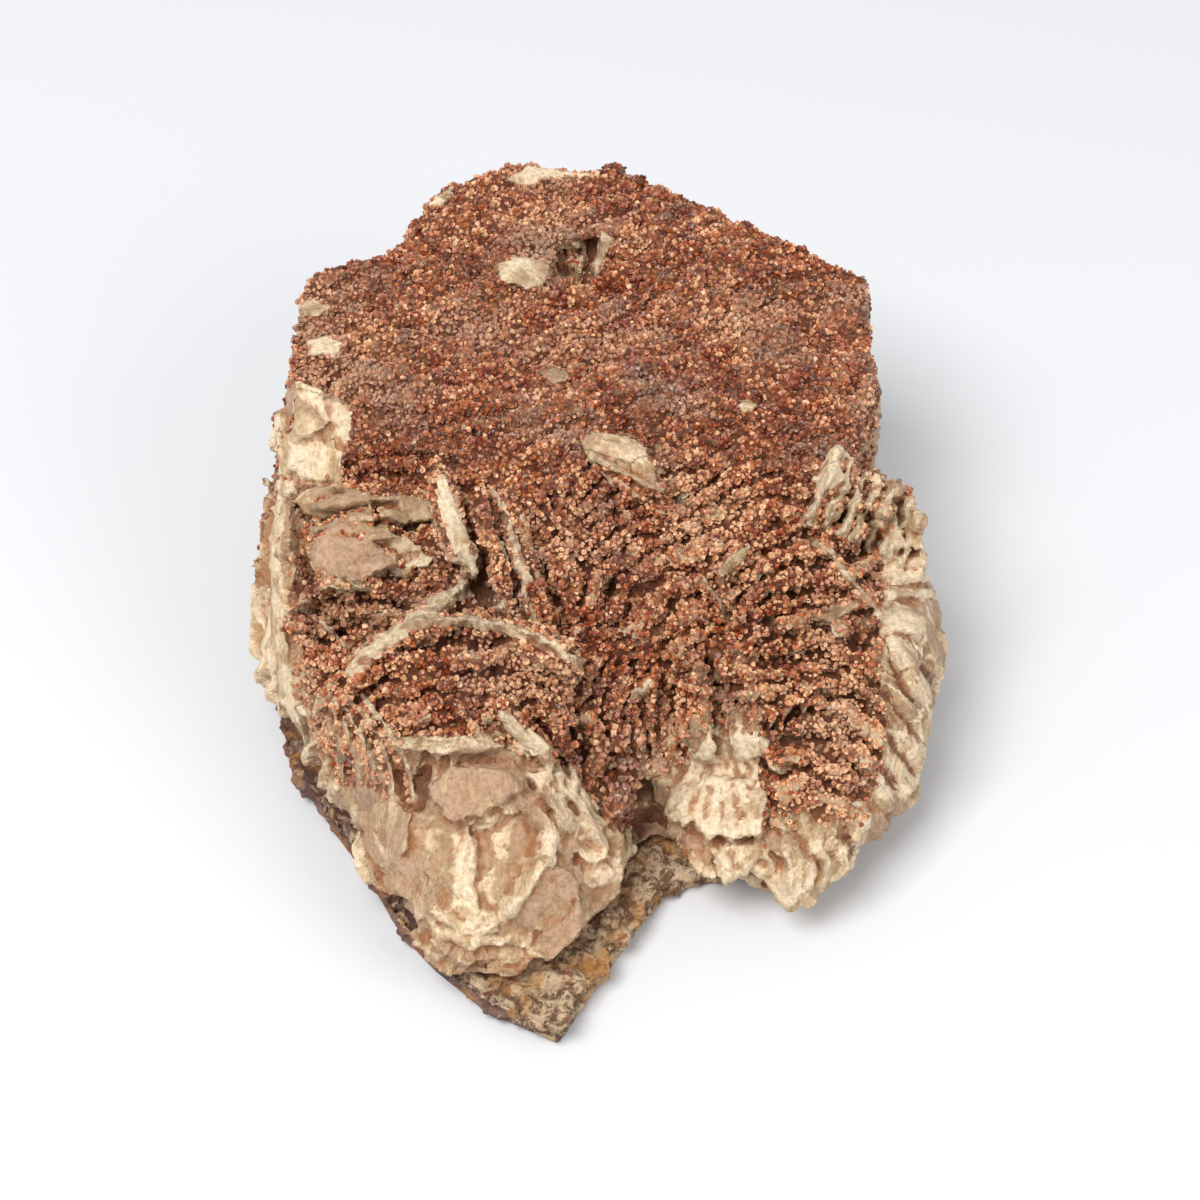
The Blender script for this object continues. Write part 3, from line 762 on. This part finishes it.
class Relief:  # what is drawn at each place: height towards the viewer in mm, and its looks from 0 to 1
    def __init__(self, flat, coat):
        rough = np.concatenate([flat, np.zeros((len(flat), 1))], axis=1)
        for index, (size, reach) in enumerate(massShape["warp"]):
            shift = np.array([noise.noise_vector(Vector(p))[:2] for p in rough / size + 7.0 * index])
            flat = flat + shift * reach
        self.flat, self.coat = flat, coat
        self.tint, self.crest, self.calm, self.dark = np.full(len(flat), 0.5), *np.zeros((3, len(flat)))
        self.rows, rise = rowField(flat)
        self.rowHeight = self.rows * rise * coat
        self.height = self.rowHeight.copy()
        self.layRods()
        for depth, outline in sunk.values():
            share = smoothStep(insideOutline(flat, outline), -0.4, 0.9)
            self.height -= share * depth
            self.dark = np.maximum(self.dark, share)
        self.coat = self.coat * (1 - 0.85 * self.dark)
        for name, plate in plates.items():
            self.layPlate(name, plate)
        for line, look, stands, number in fanLines():
            self.layEdge(line, look, stands, number)

    def layRods(self):
        wall = smoothStep(insideOutline(self.flat, plates["right wall"]["outline"]), 0.0, 0.8)
        wall *= smoothStep(-self.flat[:, 1], 3, 5)
        rods, ridge, tint = rodField(self.flat)
        self.height += rods * wall
        self.dark += (1 - ridge) * wall * 1.3
        self.tint += tint * wall

    def near(self, points, reach):  # the places round the points
        low, high = points.min(axis=0) - reach, points.max(axis=0) + reach
        return ((self.flat > low) & (self.flat < high)).all(axis=1)

    def layPlate(self, name, plate):
        corners = np.array(plate["outline"])
        near = self.near(corners, 1)
        here = self.flat[near]
        deep = insideOutline(here, plate["outline"])
        share = smoothStep(deep, -0.15, 0.2)
        before = self.coat[near]
        bared = share * (1 - plate["coat"])
        self.coat[near] += (plate["coat"] - before) * share
        self.tint[near] += (plate["tint"] - self.tint[near]) * share
        self.height[near] -= self.rowHeight[near] * bared
        self.rowHeight[near] *= 1 - bared
        if plate["lift"] is None:
            self.calm[near] += (0.45 - self.calm[near]) * share
            return
        way = np.array(plate["way"]) / np.hypot(*plate["way"])
        reach = corners @ way
        along = np.clip((here @ way - reach.min()) / (reach.max() - reach.min()), 0, 1)
        low, high = plate["lift"]
        level = low + (high - low) * along + massShape["grain"] * before
        if name in massShape["flutes"]:
            (heartX, heartY), gap, rise = massShape["flutes"][name]
            turn = np.arctan2(here[:, 1] - heartY, here[:, 0] - heartX) / gap
            level += np.abs(turn - np.round(turn)) * 2 * rise
        self.height[near] += (level - 0.75 * self.height[near]) * share
        self.calm[near] += (1 - self.calm[near]) * share
        rim = share * (1 - smoothStep(deep, 0.15, 0.6)) * 0.8
        self.crest[near] = np.maximum(self.crest[near] * (1 - share), rim)
        self.dark[near] *= 1 - share

    def layEdge(self, line, look, stands, number):
        flatTop, slope = look["across"]
        bare, pale = look["bare"], look["bare"] > 0.35  # narrower bare strips are left to the crystals
        near = self.near(line, slope + 2)
        share, right = besideLine(self.flat[near], line)
        chips = flatNoise(share * 7 + number, share * 0) * (0.3 if bare > 0.5 else 0.6)
        taper = (1 - np.abs(2 * share - 1) ** look["taper"]) * np.clip(1.0 + chips, 0.4, 1.15)
        strong = smoothStep(taper, 0.1, 0.4)
        kept = (1 - smoothStep(right, flatTop + slope * 0.6, flatTop + slope)) * strong
        covered = smoothStep(right, -0.4, 0.0) * kept
        profile = smoothStep(right, -0.35, 0.05) * (1 - smoothStep(right, flatTop, flatTop + slope)) * taper
        self.height[near] += (stands + massShape["grain"] * self.coat[near] * pale) * profile
        self.coat[near] += (look["coat"] - self.coat[near]) * covered
        self.tint[near] += (look["tint"] - self.tint[near]) * covered
        self.dark[near] *= 1 - covered
        if pale:
            free = smoothStep(right, -0.5, -0.1) * (1 - smoothStep(right, bare, bare + 0.4))
            self.coat[near] *= 1 - free * kept
            rim = smoothStep(right, -0.4, 0) * (1 - smoothStep(right, 0.2, 0.6)) * strong
            self.crest[near] = np.maximum(self.crest[near], rim)
            self.calm[near] = np.maximum(self.calm[near], covered)


def stackField(places, size, layer, seed):  # stacks of thin parallel plates, each stack with its own lie
    shift = Vector((seed, 2 * seed, 3 * seed))
    heights, tints = np.empty(len(places)), np.empty(len(places))
    for index, place in enumerate(places):
        place = Vector(place)
        here = place / size + shift
        here += noise.noise_vector(here * 1.3) * 0.35
        distances, points = noise.voronoi(here)
        cell = points[0]
        lie = (noise.cell_vector(cell * 9.7) - Vector((0.5, 0.5, 0.42))).normalized()
        phase = place.dot(lie) / layer + noise.noise(place / (2.2 * layer)) * 0.45
        plate = math.floor(phase)
        share = phase - plate
        height = noise.cell(Vector((plate + 0.5, cell.x * 13, cell.y * 17)))
        groove = max(0.0, 0.16 - min(share, 1 - share)) * 1.6
        crack = max(0.0, 0.08 - (distances[1] - distances[0])) * 3.0
        heights[index] = height * 0.8 + (share - 0.5) * 0.3 - groove - crack
        tints[index] = height
    return heights, tints


def roundHearts(places):  # how far round its nearest heart each place lies, and how far down and out, in mm
    hearts = np.array(massShape["hearts"])
    offsets = places[:, None, :2] / mm - hearts[None]
    away = np.linalg.norm(offsets, axis=2)
    nearest = away.argmin(axis=1)
    offset = offsets[np.arange(len(places)), nearest]
    around = np.arctan2(offset[:, 1], offset[:, 0]) * 24 + noiseField(places, 9 * mm, 8.8) * 5
    return around, away.min(axis=1) - places[:, 2] / mm + nearest * 60.0


def facetField(across, down, slant, seed):  # plates broken off flat, each with its own height and lie
    sway = flatNoise(across * 0.4, down * 0.4, seed)
    heights, tints = np.empty(len(across)), np.empty(len(across))
    for index, here in enumerate(zip(across + sway * 0.9, down + sway * 0.5)):
        here = Vector((*here, seed))
        cell = noise.voronoi(here)[1][0]
        own = noise.cell_vector(cell * 13.7)
        offset = here - cell
        heights[index] = own.x - 0.5 + (offset.x * (own.y - 0.5) * 2 + offset.y * (own.z - 0.2)) * slant
        tints[index] = own.z
    return np.clip(heights, -0.6, 0.6), tints


def billows(places, size, seed):  # round lumps with sharp creases between, 0 to about 1
    return np.abs(noiseField(places, size, seed)) * 1.6


def coatOver(places, normals):  # 0 where barite is bare, 1 where crystals cover it, before plates are drawn
    x, y, z = (places / mm).T
    up = normals[:, 2]
    plateau = smoothStep(y, 8, 14) * smoothStep(up, 0.05, 0.35)
    leftLobe = smoothStep(y, -29, -26) * (1 - smoothStep(x, 0, 4))
    rightLobe = smoothStep(y, -33, -29) * smoothStep(x, 19, 22)
    rightLobe += smoothStep(y, -23, -20) * smoothStep(x, 6, 9)
    middle = smoothStep(y, -30, -26) * smoothStep(x, -4, 0) * (1 - smoothStep(x, 6, 10))
    slope = smoothStep(up + 0.5 * -normals[:, 1], 0.1, 0.35) * smoothStep(z, 14, 20)
    slope *= np.clip(np.maximum(np.maximum(leftLobe, rightLobe), middle), 0, 1)
    slope *= 1 - smoothStep(np.abs(x + 1), 36, 40)
    return np.maximum(plateau, slope)


def layRelief(mass):  # moves the copy of the CAD mass to its drawn form
    remesh(mass, massShape["voxels"][0], 2)
    mesh = mass.data
    places, normals = pointsOf(mesh)[0], broadNormals(mesh, 4)
    above = smoothStep(places[:, 2], 5.6 * mm, 6.8 * mm)
    bed = smoothStep(places[:, 1], massShape["bedFront"], massShape["bedFront"] + 6 * mm)
    bed *= smoothStep(normals[:, 2], 0.3, 0.7)
    wall = 0.35 + 0.65 * smoothStep(normals[:, 2], 0.0, 0.5)
    places -= normals * (massShape["shrink"] * wall * (1 - bed) * above)[:, None]
    places[:, 2] += massShape["lift"] * bed
    towards = towardsView(places)
    facing = (normals * towards).sum(axis=1)
    steep = 1 - smoothStep(facing, 0.2, 0.65)
    way = towards + (normals - towards) * steep[:, None]
    height = Relief(seenAt(places), coatOver(places, normals)).height * mm
    places += way * (height * smoothStep(facing, -0.05, 0.2) * above * (1 - 0.6 * steep))[:, None]
    movePoints(mesh, places, massShape["margins"][0], massShape["floor"])
    remesh(mass, massShape["voxels"][1], 0)


def layGrain(places, calm, coat, tint, around, down):  # how far plates, grit and clumps push each place out
    move = np.zeros(len(places))
    rough = (1 - 0.85 * calm) * (1 - 0.85 * coat)
    size, layer, depth = massShape["stacks"]
    heights, plateTints = stackField(places, size, layer, 1.3)
    move += (heights - 0.4) * depth * rough
    tint += (plateTints - 0.5) * 0.3 * (1 - coat)
    for seed, (width, length, step, slant) in enumerate(massShape["facets"]):
        steps, facetTints = facetField(around / width, down / length, slant, 2.9 + 7 * seed)
        move += steps * step * mm * (rough if seed == 0 else np.maximum(rough, 0.55 * calm))
        tint += (facetTints - 0.5) * 0.4 * (1 - coat)
    for seed, (size, depth) in enumerate(massShape["grit"]):
        move += noiseField(places, size, 12.0 + seed) * depth * (1 - 0.2 * calm)
    for seed, (size, depth) in enumerate(massShape["clumps"]):
        move += (billows(places, size, 7.7 + seed) - 0.45) * depth * coat
    return move


def makeMass(finish):
    mass = copyOfNode("mass", "barite")
    layRelief(mass)
    mesh = mass.data
    print("mass with its relief:", len(mesh.vertices), "points")
    places, normals = pointsOf(mesh)
    broad = broadNormals(mesh, 12)
    shown = smoothStep((broad * towardsView(places)).sum(axis=1), -0.05, 0.15)
    coat = coatOver(places, broad)
    drawn = Relief(seenAt(places), coat)
    coat += (drawn.coat - coat) * shown
    calm, crest, dark, tint = drawn.calm * shown, drawn.crest * shown, drawn.dark * shown, drawn.tint
    slope = 1 - 0.45 * smoothStep(places[:, 1], 4 * mm, 14 * mm)
    around, down = roundHearts(places)
    above = smoothStep(places[:, 2], 5.8 * mm, 6.6 * mm)
    move = layGrain(places, calm, coat, tint, around, down)
    movePoints(mesh, places + normals * (move * above)[:, None], massShape["margins"][1], massShape["floor"])
    places, normals = pointsOf(mesh)
    near, far = (hollows(mesh, places, normals, rounds) for rounds in (8, 50))
    groove = smoothStep(far, 0.15, 0.8)
    ridge = smoothStep(drawn.rows, 0.2, 0.45) * slope * shown
    cover = coat * (1 - 0.7 * ridge)
    between = slope * (1 - smoothStep(drawn.rows, -0.5, -0.05))
    buried = cover * smoothStep(-drawn.rows, 0.0, 0.6) * slope
    looks = {
        "around": around,
        "down": down,
        "coat": coat * (1 - 0.5 * ridge) * (1 - 0.6 * groove) * (1 - 0.9 * between),
        "cover": cover,
        "crest": np.clip(crest * 0.6 - near * 0.8, 0.0, 1.0),
        "tint": np.clip(tint, 0.0, 1.0),
        "stain": np.clip(0.4 + near * 2.4 + far * 0.7, 0.0, 1.0),
        "deep": np.clip(far * 0.8 + 0.8 * dark + 0.35 * buried, 0.0, 1.0),
    }
    for name, values in looks.items():
        setAttribute(mesh, name, values)
    parts = [cutPart(mass, name, *how, finish) for name, how in massShape["parts"].items()]
    bpy.data.objects.remove(mass)
    return parts


def cutPart(mass, name, planes, triangles, finish):  # a closed share of the mass, thinned to its triangles
    bm = bmesh.new()
    bm.from_mesh(mass.data)
    for place, way in planes:
        everything = bm.verts[:] + bm.edges[:] + bm.faces[:]
        cut = bmesh.ops.bisect_plane(
            bm, geom=everything, plane_co=Vector(place) * mm, plane_no=way, clear_outer=True)["geom_cut"]
        rim = [item for item in cut if isinstance(item, bmesh.types.BMEdge)]
        filled = bmesh.ops.edgeloop_fill(bm, edges=rim)["faces"]
        bmesh.ops.triangulate(bm, faces=filled, ngon_method="EAR_CLIP")
    bmesh.ops.recalc_face_normals(bm, faces=bm.faces)
    part = pieceFrom(bm, name)
    thinOut(part, triangles)
    finishPiece(part, finish, "barite", 35)
    print(name, ":", len(part.data.polygons), "faces")
    return part


crystalShape = {
    "tries": 10e6,                     # places tried on each square metre before they are thinned
    "spacing": (0.4 * mm, 0.8 * mm),
    "clear": (0.35 * mm, 2.5 * mm),    # how near a facing wall may be, and how far it is looked for
    "width": (0.24 * mm, 0.52 * mm),   # half the width over the corners
    "length": (0.3 * mm, 1.0 * mm),
    "lean": 0.8,
    "upwards": 0.25,
    "strips": 7,
    "most": 49000,
}


def bigCrystals(places):  # 1 where the crystals are larger, in the cleft between the lobes
    x, y, z = (places / mm).T
    sides = smoothStep(x, -3, 0) * (1 - smoothStep(x, 5, 9))
    return sides * (1 - smoothStep(y, -22, -17)) * smoothStep(z, 10, 13)


def scatter(emitters, rng):  # random places where the coat is, with their normals, and a tree of all faces
    allPlaces, allNormals, verts, faces = [], [], [], []
    for piece in emitters:
        mesh = piece.data
        mesh.calc_loop_triangles()
        corners = np.empty(len(mesh.loop_triangles) * 3, dtype=np.int32)
        mesh.loop_triangles.foreach_get("vertices", corners)
        corners = corners.reshape(-1, 3)
        points, _ = pointsOf(mesh)
        coat = np.empty(len(points))
        mesh.attributes["coat"].data.foreach_get("value", coat)
        a, b, c = (points[corners[:, i]] for i in range(3))
        cross = np.cross(b - a, c - a)
        area = np.linalg.norm(cross, axis=1) / 2
        weight = area * coat[corners].mean(axis=1)
        faces.append(corners + sum(len(block) for block in verts))
        verts.append(points)
        if not weight.any():
            continue
        tries = int(weight.sum() * crystalShape["tries"])
        chosen = rng.choice(len(area), size=tries, p=weight / weight.sum())
        r1, r2 = np.sqrt(rng.random(len(chosen))), rng.random(len(chosen))
        shares = np.stack([1 - r1, r1 * (1 - r2), r1 * r2], axis=1)[:, :, None]
        allPlaces.append(shares[:, 0] * a[chosen] + shares[:, 1] * b[chosen] + shares[:, 2] * c[chosen])
        allNormals.append(cross[chosen] / np.maximum(2 * area[chosen], 1e-12)[:, None])
    tree = BVHTree.FromPolygons(np.concatenate(verts).tolist(), np.concatenate(faces).tolist())
    return np.concatenate(allPlaces), np.concatenate(allNormals), tree


def crystalSpots(emitters, rng):  # places, normals and gaps of the crystals, none of them too close together
    places, normals, tree = scatter(emitters, rng)
    order = rng.permutation(len(places))
    lowSpace, highSpace = crystalShape["spacing"]
    space = lowSpace + (highSpace - lowSpace) * np.maximum(rng.random(len(places)) ** 2, bigCrystals(places))
    nearest, farthest = crystalShape["clear"]
    grid, kept = {}, []
    for index in order:
        place, normal = places[index], Vector(normals[index])
        key = tuple(np.floor(place / highSpace).astype(int))
        near = (other for dx in (-1, 0, 1) for dy in (-1, 0, 1) for dz in (-1, 0, 1)
                for other in grid.get((key[0] + dx, key[1] + dy, key[2] + dz), ()))
        least = space[index] * space[index]
        if any((place[0] - x) ** 2 + (place[1] - y) ** 2 + (place[2] - z) ** 2 < least for x, y, z in near):
            continue
        grid.setdefault(key, []).append(tuple(place))
        _, facing, _, distance = tree.ray_cast(Vector(place) + normal * 0.04 * mm, normal, farthest)
        if facing is None or (facing.dot(normal) <= 0 and distance >= nearest):
            kept.append(index)
    print("crystals tried:", len(places), "kept:", len(kept))
    kept = np.array(kept[:crystalShape["most"]])
    return places[kept], normals[kept], space[kept]


def crystalTurns(normals, rng):  # Euler angles that stand a crystal on its face, leaning at random
    leaning = normals + rng.normal(size=normals.shape) * crystalShape["lean"]
    leaning[:, 2] += crystalShape["upwards"]
    leaning /= np.linalg.norm(leaning, axis=1)[:, None]
    roll = rng.random(len(normals)) * math.pi
    return np.array([
        (Vector(way).to_track_quat("Z", "Y") @ Matrix.Rotation(angle, 3, "Z").to_quaternion()).to_euler()
        for way, angle in zip(leaning, roll)])


def oneCrystal():  # a short six-sided prism with a hollow end
    bm = bmesh.new()
    tip = bm.verts.layers.float.new("tip")
    bmesh.ops.create_cone(bm, cap_ends=True, segments=6, radius1=0.8, radius2=1.0, depth=1.0)
    end = max(bm.faces, key=lambda face: face.calc_center_median().z)
    hollow = bmesh.ops.poke(bm, faces=[end])["verts"][0]
    for vert in bm.verts:
        vert[tip] = 1.0 if vert.co.z > 0 and vert != hollow else 0.0
    hollow.co.z = 0.2
    return pieceFrom(bm, "one_crystal")


def crystalTree(finish, template):  # puts a crystal on each point
    tree = bpy.data.node_groups.new("crystals on points", "GeometryNodeTree")
    tree.interface.new_socket("Points", in_out="INPUT", socket_type="NodeSocketGeometry")
    tree.interface.new_socket("Crystals", in_out="OUTPUT", socket_type="NodeSocketGeometry")
    g = Graph(tree)
    points = g.add("NodeGroupInput")
    turn, size = (g.add("GeometryNodeInputNamedAttribute", {"data_type": "FLOAT_VECTOR"}, {"Name": name})
                  for name in ("turn", "size"))
    turn = g.add("FunctionNodeEulerToRotation", None, {0: turn})
    crystal = g.add("GeometryNodeObjectInfo", None, {"Object": template}, out=4)
    crystals = g.add("GeometryNodeInstanceOnPoints", None, {
        "Points": points, "Instance": crystal, "Rotation": turn, "Scale": size})
    crystals = g.add("GeometryNodeRealizeInstances", None, {"Geometry": crystals})
    crystals = g.add("GeometryNodeSetMaterial", None, {"Geometry": crystals, "Material": finish})
    g.add("NodeGroupOutput", None, {0: crystals})
    return tree


def makeCrystals(emitters, finish):
    template = oneCrystal()
    tree = crystalTree(finish, template)
    rng = np.random.default_rng(21)
    places, normals, space = crystalSpots(emitters, rng)
    turns = crystalTurns(normals, rng)
    count = len(places)
    lowSpace, highSpace = crystalShape["spacing"]
    grown = (space - lowSpace) / (highSpace - lowSpace)
    lowWidth, highWidth = crystalShape["width"]
    lowLength, highLength = crystalShape["length"]
    width = lowWidth + (highWidth - lowWidth) * np.clip(0.6 * grown + 0.6 * rng.random(count) ** 1.5, 0, 1)
    length = lowLength + (highLength - lowLength) * np.clip(0.5 * grown + 0.6 * rng.random(count), 0, 1)
    reach = (0.55 * length + width)[:, None]
    fits = ((places - reach > lowCorner) & (places + reach < highCorner)).all(axis=1)
    size = np.stack([width, width * rng.uniform(0.7, 1.1, count), length], axis=1)
    front = 1 - smoothStep(places[:, 1], 4 * mm, 14 * mm)
    front *= 0.12 + 0.14 * smoothStep(np.abs(places[:, 0]), 4 * mm, 14 * mm)
    patches = noiseField(places, 7 * mm, 5.0) * 0.35 + noiseField(places, 1.6 * mm, 2.0) * 0.3
    tone = np.clip(rng.normal(0.54, 0.27, count) + front + patches, 0, 1)
    across = (places[:, 0] - lowCorner[0]) / (highCorner[0] - lowCorner[0])
    strips = np.floor(across * crystalShape["strips"]).astype(int)
    for strip in range(crystalShape["strips"]):
        chosen = fits & (strips == strip)
        name = f"vanadinite_crystals_{strip + 1}"
        mesh = bpy.data.meshes.new(name)
        mesh.vertices.add(int(chosen.sum()))
        mesh.vertices.foreach_set("co", places[chosen].ravel())
        for tag, values in (("turn", turns), ("size", size)):
            attribute = mesh.attributes.new(tag, "FLOAT_VECTOR", "POINT")
            attribute.data.foreach_set("vector", values[chosen].ravel())
        setAttribute(mesh, "tone", tone[chosen])
        piece = addPiece(name, mesh)
        piece.modifiers.new("crystals", "NODES").node_group = tree
        bake(piece)
        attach(piece, "root")
        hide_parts("vanadinite_crust")
        print(name, ":", int(chosen.sum()), "crystals")
    bpy.data.objects.remove(template)


slabShape = {
    "voxel": 0.42 * mm,
    "lumps": ((6.0 * mm, 0.8 * mm), (2.4 * mm, 1.3 * mm), (1.0 * mm, 0.6 * mm)),  # size and depth
}


def makeSlab(finish):
    slab = copyOfNode("matrix_rock", "matrix")
    remesh(slab, slabShape["voxel"], 4)
    mesh = slab.data
    places, normals = pointsOf(mesh)
    top = smoothStep(normals[:, 2], 0.25, 0.6)
    above = smoothStep(places[:, 2], 0.5 * mm, 1.5 * mm)
    for seed, (size, depth) in enumerate(slabShape["lumps"]):
        places += normals * ((billows(places, size, 5.3 + seed) - 0.6) * depth * above)[:, None]
    x, y, z = (movePoints(mesh, places) / mm).T
    leftRim = smoothStep(-x - 0.55 * y - 6, 14, 22) * (1 - smoothStep(x, -16, -8)) * (1 - top)
    underside = smoothStep(-z, -1.2, -0.4)
    setAttribute(mesh, "pale", np.clip(0.85 + 0.012 * x - 1.1 * leftRim - 0.5 * underside, 0, 1))
    finishPiece(slab, finish, "matrix")
    print("slab:", len(mesh.polygons), "faces")


studio = {
    "halfWidth": 0.134 * 600 / viewDistance,  # of the picture, for each unit of distance
    "sensor": 36,
    "floor": rgba(212, 213, 215),
    "floorSize": 3.0,
    "air": (0.97, 0.98, 1.0, 1.0),
    "airStrength": 0.62,
    "lights": {  # place, size and power
        "key": ((-0.3, -0.42, 0.85), 0.45, 9.4),
        "fill": ((0.6, -0.5, 0.6), 0.5, 2.7),
    },
}


def setStudio():
    scene = bpy.context.scene
    camera = bpy.data.objects.new("camera", bpy.data.cameras.new("camera"))
    scene.collection.objects.link(camera)
    camera.location = viewFrom
    camera.rotation_euler = (-viewWay).to_track_quat("-Z", "Y").to_euler()
    camera.data.sensor_width = studio["sensor"]
    camera.data.lens = studio["sensor"] / 2 / studio["halfWidth"]
    camera.data.clip_start = 0.01
    scene.camera = camera
    scene.view_settings.view_transform = "Standard"

    bm = bmesh.new()
    bmesh.ops.create_grid(bm, x_segments=1, y_segments=1, size=studio["floorSize"])
    floor = pieceFrom(bm, "floor")
    made, g = newFinish("floor finish")
    finishWith(g, {"Base Color": studio["floor"], "Roughness": 0.9, "Specular IOR Level": 0.2})
    floor.data.materials.append(made)

    scene.world = bpy.data.worlds.new("studio")
    scene.world.use_nodes = True
    background = scene.world.node_tree.nodes["Background"].inputs
    background["Color"].default_value = studio["air"]
    background["Strength"].default_value = studio["airStrength"]
    for name, (place, size, power) in studio["lights"].items():
        lamp = bpy.data.lights.new(name, "AREA")
        lamp.size, lamp.energy = size, power
        light = bpy.data.objects.new(name, lamp)
        scene.collection.objects.link(light)
        light.location = place
        light.rotation_euler = (viewMiddle - Vector(place)).to_track_quat("-Z", "Y").to_euler()


setStudio()
emitters = makeMass(bariteFinish())
makeCrystals(emitters, crystalFinish())
makeSlab(rockFinish())
